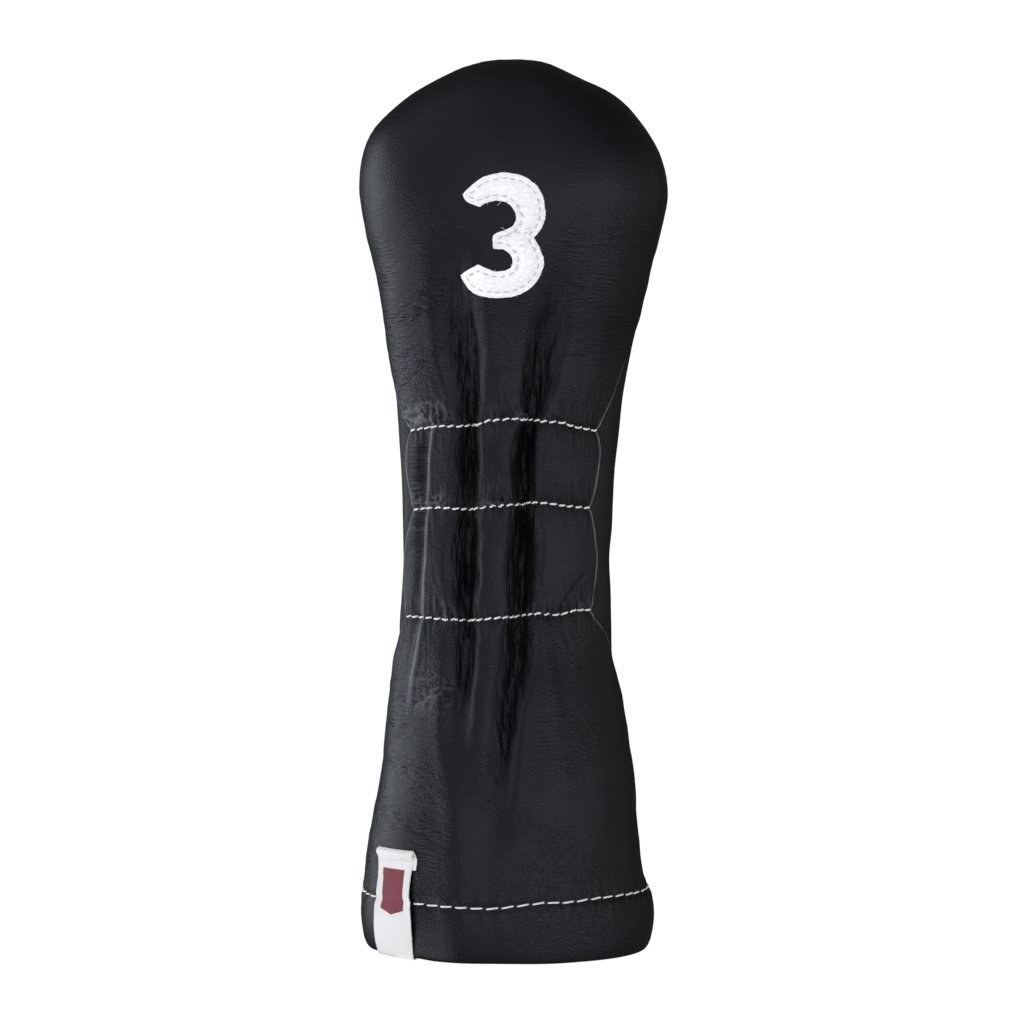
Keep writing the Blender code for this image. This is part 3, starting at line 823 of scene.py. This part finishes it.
# --- lining
lining = {
    "depth": 4.0,
    "wall": 2.0,
    "pile": 0.3,
    "curl": 2.6,
    # it lies deeper in the neck, where it follows the folds, and is tucked thin behind the hem
    "neck": ((40, 112), (198, 245)),
    "neckRoom": 4.2,
    "followed": 0.5,
    "start": 24.7,
    "tuck": 9,
    "tuckDepth": 1.55,
    "tuckThinner": 0.9,
}


def buildLining(name, panel, node, seed):
    def depthAt(share, level):
        point = skin(panel, share, level)[0]
        start, end = lining["neck"]
        neck = ramp(level, *start) * (1 - ramp(level, *end))
        room = lining["neckRoom"] * neck * max(sin(panelAngle(panel, share, level)), 0)
        if panel == "front":
            folds = [depth * bell(point.x - x, width) for x, width, depth in foldStations(point.z)[0] if depth > 0]
            room += lining["followed"] * sum(folds)
        tucked = 1 - ramp(level, lining["start"], lining["start"] + lining["tuck"])
        curl = lining["curl"]
        pile = lining["pile"] * wobble(point.x / curl, point.y / curl + seed, point.z / curl)
        depth = (lining["depth"] + room) * (1 - tucked) + lining["tuckDepth"] * tucked
        return depth, pile - lining["tuckThinner"] * tucked

    def placed(share, level, depth):
        angle = panelAngle(panel, share, level)
        point = envelope(angle, level) - outward(angle, level) * depth
        point.y += -0.15 if panel == "front" else 0.15
        return point

    def outer(share, level):
        return placed(share, level, depthAt(share, level)[0])

    def inner(share, level):
        depth, pile = depthAt(share, level)
        return placed(share, level, depth + lining["wall"] + pile)

    levels = spread((lining["start"], 35, 1.2), (35, shoulder, 2.2), (shoulder, top, 2.2))
    return finishPiece(name, sheetMesh(name, 76, levels, outer, inner), "lining_fleece", node)


frontLining = buildLining("front_fleece", "front", "front_lining", 3)
backLining = buildLining("back_fleece", "back", "back_lining", 8)
print("lining built")

# --- gather rows: elastic, needle thread and bobbin thread
rowSewing = {
    # the level whose outline gives each place across a row its x
    "level": 160,
    "elasticWidth": 8.0,
    "elasticWall": 0.8,
    "pitch": 3.55,
    "stitch": 2.55,
    # each thread: its finish, thickness, rise, slant and roundness
    "needle": ("white_thread", 0.74, 0.5, 0.5, 2),
    "bobbin": ("black_thread", 0.5, 0.3, 0.2, 1),
}


def buildRow(row):
    behind = cover["leather"] + 0.3
    half, wall = rowSewing["elasticWidth"] / 2, rowSewing["elasticWall"]
    level = rowSewing["level"]

    def skinAt(depth):
        def placed(share, offset):
            across = 0.02 + 0.96 * share
            x = envelope(panelAngle("front", across, level), level).x
            return onPanel("front", across, rowHeight(row, x) + offset, depth)

        return placed

    name = row + "_elastic_tape"
    band = sheetMesh(name, 110, spread((-half, half, 1.0)), skinAt(behind), skinAt(behind + wall))
    tape = finishPiece(name, band, "elastic", row + "_elastic")
    places = lineOn("front", 0.008, 0.984, 300, level, lambda x: rowHeight(row, x))
    backs = behindLine(places[4:-4], behind + wall + 0.1)
    seed = len(row)
    sew(row + "_stitches", row + "_gather_thread", places, rowSewing, "needle", seed)
    sew(row + "_under_stitches", row + "_bobbin_thread", backs, rowSewing, "bobbin", seed + 3)
    return tape


elastics = [buildRow(row) for row in ("upper", "middle", "lower")]
print("gather rows sewn")

# --- hem stitches, all the way round
hemSewing = {
    "pitch": 5.5,
    "stitch": 4.2,
    "needle": ("white_thread", 0.66, 0.36, 0.3, 2),
    "bobbin": ("black_thread", 0.5, 0.3, 0.2, 1),
}
places = [place for panel in ("front", "back") for place in lineOn(panel, 0.002, 0.996, 239, 20, hemHeight)]
places.append(places[0])
backs = behindLine(places, cover["hemWall"] + 0.1)
sew("hem_stitches", "hem_thread", places, hemSewing, "needle", 11)
sew("hem_under_stitches", "hem_bobbin_thread", backs, hemSewing, "bobbin", 14)
print("hem sewn")

# --- hidden seam threads
for name, node, depth, start in (
    ("shell_seam_stitching", "shell_seam_thread", 3.0, 38),
    ("lining_seam_stitching", "lining_seam_thread", 3.3, 50),
):
    heights = spread((start, shoulder, 3), (shoulder, top - 1, 3))
    climb = [(0, level) for level in heights] + [(1, level) for level in reversed(heights)]
    points = []
    for side, level in climb:
        angle = seamAngles(level)[side]
        points.append(envelope(angle, level) - outward(angle, level) * depth)
    finishPiece(name, threadMesh(name, [points], 0.5, 1), "black_thread", node, smoothTo=80)

# --- numeral
numeral = {
    "middle": (-3.3, 255.9),
    "gap": 0.1,
    "wall": 1.25,
    # the patch swells inside its stitching, dips along it and is rounded at its edge
    "swell": 0.22,
    "groove": 0.42,
    "rounding": 0.35,
    "margin": 1.95,
    "pitch": 3.1,
    "stitch": 1.9,
    # the numeral's white thread is painted grey as painted shade
    "needle": ("grey_thread", 0.42, 0.26, 0.15, 1),
    "cell": 0.85,
    "cut": 0.985,
    "ragged": (0.16, 0.2),
    # x and height from its middle, anticlockwise from the notch; 1 marks a corner
    "outline": (
        (11.1, -0.9, 1), (14.2, 3.4, 0), (15.1, 8.6, 0), (13.5, 15.4, 0), (8.3, 20.2, 0), (0.8, 21.9, 0),
        (-6.7, 20.4, 0), (-12.2, 16.4, 0), (-13.9, 14.3, 0), (-12.8, 12, 0), (-8.2, 10, 1), (-5.6, 11.4, 0),
        (-2.3, 12.1, 0), (2, 11.1, 0), (4.8, 7, 0), (3.5, 3.2, 0), (-1.8, 0.9, 0), (-3.3, -0.4, 0),
        (-3.4, -4, 0), (-2.4, -4.8, 0), (1, -5.2, 0), (3.6, -8.6, 0), (2.2, -11.8, 0), (-2.8, -12.6, 0),
        (-8.9, -10.2, 1), (-14.8, -13.6, 0), (-14.4, -16, 0), (-10.6, -20.2, 0), (-3.2, -21.9, 0),
        (5.2, -21, 0), (11.6, -16.8, 0), (14.6, -10.4, 0), (13.4, -4.9, 0),
    ),
}


def curvedOutline(outline, steps):
    points = []
    for i, (x, z, corner) in enumerate(outline):
        here, before = Vector((x, z)), Vector(outline[i - 1][:2])
        nextOne = outline[(i + 1) % len(outline)]
        ahead, beyond = Vector(nextOne[:2]), Vector(outline[(i + 2) % len(outline)][:2])
        leave = (ahead - here) if corner else (ahead - before) / 2
        arrive = (ahead - here) if nextOne[2] else (beyond - here) / 2
        for k in range(steps):
            points.append(hermite(k / steps, here, ahead, leave, arrive))
    return points


def inward(outline, i):
    along = (outline[(i + 1) % len(outline)] - outline[i - 1]).normalized()
    return Vector((-along.y, along.x))


def insetOutline(outline, distance):
    moved = [point + inward(outline, i) * distance for i, point in enumerate(outline)]
    return [p for p in moved if min((p - q).length for q in outline) > 0.94 * distance]


def onNumeral(place, lift):
    x, z = place.x + numeral["middle"][0], place.y + numeral["middle"][1]
    level = levelOfHeight(z)
    return onPanel("front", shareAtX(x, level), level, -lift)


def buildNumeral():
    edge = curvedOutline(numeral["outline"], 6)
    rough = []
    broad, fine = numeral["ragged"]
    for i, point in enumerate(edge):
        ragged = broad * wobble(point.x * 1.3, point.y * 1.3, 4) + fine * wobble(point.x * 3.1, point.y * 3.1, 9)
        rough.append((point + inward(edge, i) * ragged) * numeral["cut"])
    bm = bmesh.new()
    bm.faces.new([bm.verts.new((p.x, p.y, 0)) for p in rough])
    for axis, reach in ((Vector((1, 0, 0)), 16), (Vector((0, 1, 0)), 23)):
        count = int(reach / numeral["cell"])
        for k in range(-count, count + 1):
            whole = bm.verts[:] + bm.edges[:] + bm.faces[:]
            cut = axis * (k * numeral["cell"] + 0.07)
            bmesh.ops.bisect_plane(bm, geom=whole, dist=0.004, plane_co=cut, plane_no=axis)
    bmesh.ops.triangulate(bm, faces=bm.faces)
    surface = list(bm.verts)
    under = thicken(bm)
    for verts, isTop in ((surface, True), (under, False)):
        for vert in verts:
            place = Vector(vert.co[:2])
            near = min((place - p).length for p in rough)
            lift = numeral["gap"]
            if isTop:
                lift += 0.16 * wobble(place.x / 4 + place.y / 3, (place.y - place.x * 0.3) / 1.1, 2)
                lift += numeral["wall"] * (1 - numeral["rounding"] * bell(near, 0.5))
                groove = numeral["groove"] * bell(near - numeral["margin"], 0.7)
                lift += numeral["swell"] * ramp(near, 2.6, 4.6) - groove
            vert.co = onNumeral(place, lift) * mm
    finishPiece("numeral_leather", closedMesh("numeral_leather", bm), "white_leather", "numeral_patch", smoothTo=50)

    inner = insetOutline(curvedOutline(numeral["outline"], 8), numeral["margin"])
    rise = numeral["gap"] + numeral["wall"] - 0.36
    places = []
    for point in [numeral["cut"] * place for place in inner + inner[:1]]:
        here = onNumeral(point, rise)
        right, above = onNumeral(point + Vector((0.4, 0)), rise), onNumeral(point + Vector((0, 0.4)), rise)
        places.append((here, (right - here).cross(above - here).normalized()))
    sew("numeral_stitches", "numeral_thread", places, numeral, "needle", 21)

    # a few fibres stand out from the cut edge
    fibres = []
    for i in range(3, len(edge), 9):
        reach = 0.2 + 6 * max(wobble(i * 0.77, 3.1) - 0.08, 0)
        within = inward(edge, i)
        away = Vector((within.y, -within.x)) * 1.4 * wobble(i * 0.9, 8) - within
        fibres.append([onNumeral(edge[i] + away * reach * t, 0.5 + 0.5 * t) for t in (-0.2, 0.35, 0.7, 1.0)])
    mesh = threadMesh("numeral_fibres", fibres, 0.14, 0)
    finishPiece("numeral_fibres", mesh, "white_leather", None, "white_thread", smoothTo=80)


buildNumeral()
print("numeral sewn on")

# --- woven label
label = {
    "top": 38.0,
    "sewn": 35.2,
    "insideTop": 12.0,
    "wall": 0.42,
    "bow": 1.0,
    "flap": (6.0, 1.4),
    "pitch": 2.5,
    "stitch": 1.9,
    "needle": ("white_thread", 0.4, 0.2, 0.1, 1),
    # height, share of the full width, and sideways lean
    "form": (
        (0, 1.06, -0.6), (8, 1.02, -0.5), (16, 0.92, 0), (24, 0.84, 0), (31, 0.9, 0.2), (36, 1.0, 0.3), (40, 1.02, 0.3),
    ),
}


def labelShare(offset, level):
    share = shareAtX(labelPlace["middle"], level)
    width = (onPanel("front", share + 0.01, level) - onPanel("front", share - 0.01, level)).length / 0.02
    return share + offset / width


def labelLift(height):
    # the strip bows out below its stitching and rolls over above it
    if height > label["sewn"]:
        return 0.95 * sin(pi * min((height - label["sewn"]) / (label["top"] - label["sewn"]), 1) * 0.8)
    t = (height - 1.5) / (label["sewn"] - 1.5)
    return label["bow"] * sin(pi * min(max(t, 0), 1)) ** 0.8 * (1 + 0.35 * sin(5 * t))


def labelWave(offset, height):
    curl = 0.9 * ramp(-offset, 4, 9) * bell(height - 21, 9)
    return (0.3 * wobble(offset / 7, height / 8, 6) + curl) * ramp(height, 2, 12)


def buildLabel():
    half = label["wall"] / 2
    out = 0.2 + half
    within = -(cover["hemWall"] + out)
    path = [(within, label["insideTop"] - k / 8 * (label["insideTop"] - 1.4), 0) for k in range(9)]
    path += [(within + 0.5, 0.45, 0), (-cover["hemWall"] / 2, 0.3, 0), (out - 0.6, 0.45, 0)]
    for k in range(53):
        height = 1.5 + k / 52 * (label["top"] - 1.5)
        path.append((out + labelLift(height), height, 0))
    path.append((out + 0.2, label["top"] + 0.4, 0.1))
    down, sideways = label["flap"]
    for k in range(7):
        path.append((out - 0.05, label["top"] - 0.1 - k / 6 * down, sideways * ramp(k, -1, 3)))

    def skinAt(side):
        def placed(share, index):
            distance, height, shift = path[round(index)]
            before, after = path[max(round(index) - 1, 0)], path[min(round(index) + 1, len(path) - 1)]
            along = Vector((after[0] - before[0], after[1] - before[1])).normalized()
            distance += side * half * along.y
            height -= side * half * along.x
            level = max(height, 1.3)
            fullness, lean = through(label["form"], height)
            offset = (share - 0.5) * labelPlace["width"] * fullness + lean + shift
            offset += 0.12 * wobble(height / 4, share * 3)
            wave = labelWave(offset, height) if distance > 0 else 0
            point = onPanel("front", labelShare(offset, level), level, -(distance + wave))
            if height < 1.3:
                point.z = max(height, 0.08)
            return point

        return placed

    mesh = sheetMesh("woven_strip", 16, list(range(len(path))), skinAt(1), skinAt(-1))
    piece = finishPiece("woven_strip", mesh, "label_satin", "woven_label", smoothTo=60)
    places = []
    height = label["sewn"]
    for i in range(41):
        offset = (i / 40 - 0.5) * 0.92 * labelPlace["width"] + 0.3
        lift = 0.2 + label["wall"] + labelLift(height) + labelWave(offset, height)
        places.append(surfaceFrame("front", labelShare(offset, height), height, -lift))
    sew("woven_strip_stitches", "label_thread", places, label, "needle", 31)
    return piece


wovenStrip = buildLabel()
print("label sewn on")

# --- floor, light and camera
studio = {
    "distance": 850,
    "eye": 158.8,
    "across": 376.4,
    # each soft wall of light: the way it lies, where it fades in, strength, tint, and how far it dims below and above
    "walls": (
        ((0.44, -0.89, -0.1), 0.42, 1.8, (0.94, 0.98, 1.1), 0.72, 0.79),
        ((-0.96, 0.22, 0.02), 0.76, 2.9, (0.9, 0.96, 1.06), 0.55, 0),
        ((-0.8, -0.4, -0.45), 0.88, 2.4, (0.94, 0.97, 1.06), 0, 0),
        ((-0.5, -0.5, 0.7), 0.45, 0.55, (0.9, 0.96, 1.08), 0, 0),
        ((0.9, 0.1, 0.1), 0.7, 0.4, (1, 1, 0.92), 0, 0),
        ((0, 0, -1), 0.2, 0.12, (1, 1, 1), 0, 0),
    ),
    # the heights on the walls between which they dim
    "downward": (-0.34, -0.02),
    "upward": (0.0, 0.34),
    "least": 0.06,
    # how much more light falls on matt surfaces than shows in glossy ones
    "fill": 1.95,
}


def buildStudio():
    bm = bmesh.new()
    bmesh.ops.create_grid(bm, x_segments=2, y_segments=2, size=3.0)
    mesh = bpy.data.meshes.new("floor")
    bm.to_mesh(mesh)
    bm.free()
    floor = bpy.data.objects.new("floor", mesh)
    bpy.context.scene.collection.objects.link(floor)
    paper = Finish("paleFloor", (0.1, 0.1, 0.1), Roughness=0.9, Specular_IOR_Level=0.0)
    paper.set("Emission Color", (1, 1, 1, 1))
    paper.set("Emission Strength", 1.0)
    mesh.materials.append(paper.material)
    floor.visible_diffuse = floor.visible_glossy = False

    world = bpy.data.worlds.new("studio")
    bpy.context.scene.world = world
    world.use_nodes = True
    room = Surround(world.node_tree)
    way = room.node("ShaderNodeTexCoord")
    upward = room.node("ShaderNodeSeparateXYZ", None, {0: way}, "Z")

    # soft is the light in glossy surfaces, fill the light on matt ones
    soft = (studio["least"],) * 3
    for aim, start, strength, tint, below, above in studio["walls"]:
        facing = room.node("ShaderNodeVectorMath", {"operation": "DOT_PRODUCT"}, {0: way, 1: aim}, "Value")
        lit = room.smoothly(facing, start, 1.0, 0.0, strength)
        if below:
            lit = lit * room.smoothly(upward, *studio["downward"], 1 - below, 1)
        if above:
            lit = lit * room.smoothly(upward, *studio["upward"], 1, 1 - above)
        soft = room.scaledAdd(lit, tint, soft)
    fill = room.node("ShaderNodeVectorMath", {"operation": "SCALE"}, {0: soft, "Scale": studio["fill"]})
    soft = room.mix(room.node("ShaderNodeLightPath", output="Is Diffuse Ray"), soft, fill)
    seen = room.node("ShaderNodeLightPath", output="Is Camera Ray")
    shown = room.mix(seen, soft, (1.05, 1.05, 1.05))
    room.feed(world.node_tree.nodes["Background"].inputs["Color"], shown)

    camera = bpy.data.cameras.new("camera")
    camera.sensor_width = 36
    camera.lens = 36 * studio["distance"] / studio["across"]
    camera.clip_start, camera.clip_end = 0.01, 20
    holder = bpy.data.objects.new("camera", camera)
    holder.location = (0, -studio["distance"] * mm, studio["eye"] * mm)
    holder.rotation_euler = (radians(90), 0, 0)
    bpy.context.scene.collection.objects.link(holder)
    bpy.context.scene.camera = holder
    bpy.context.scene.view_settings.view_transform = "Standard"


buildStudio()
print("studio ready")
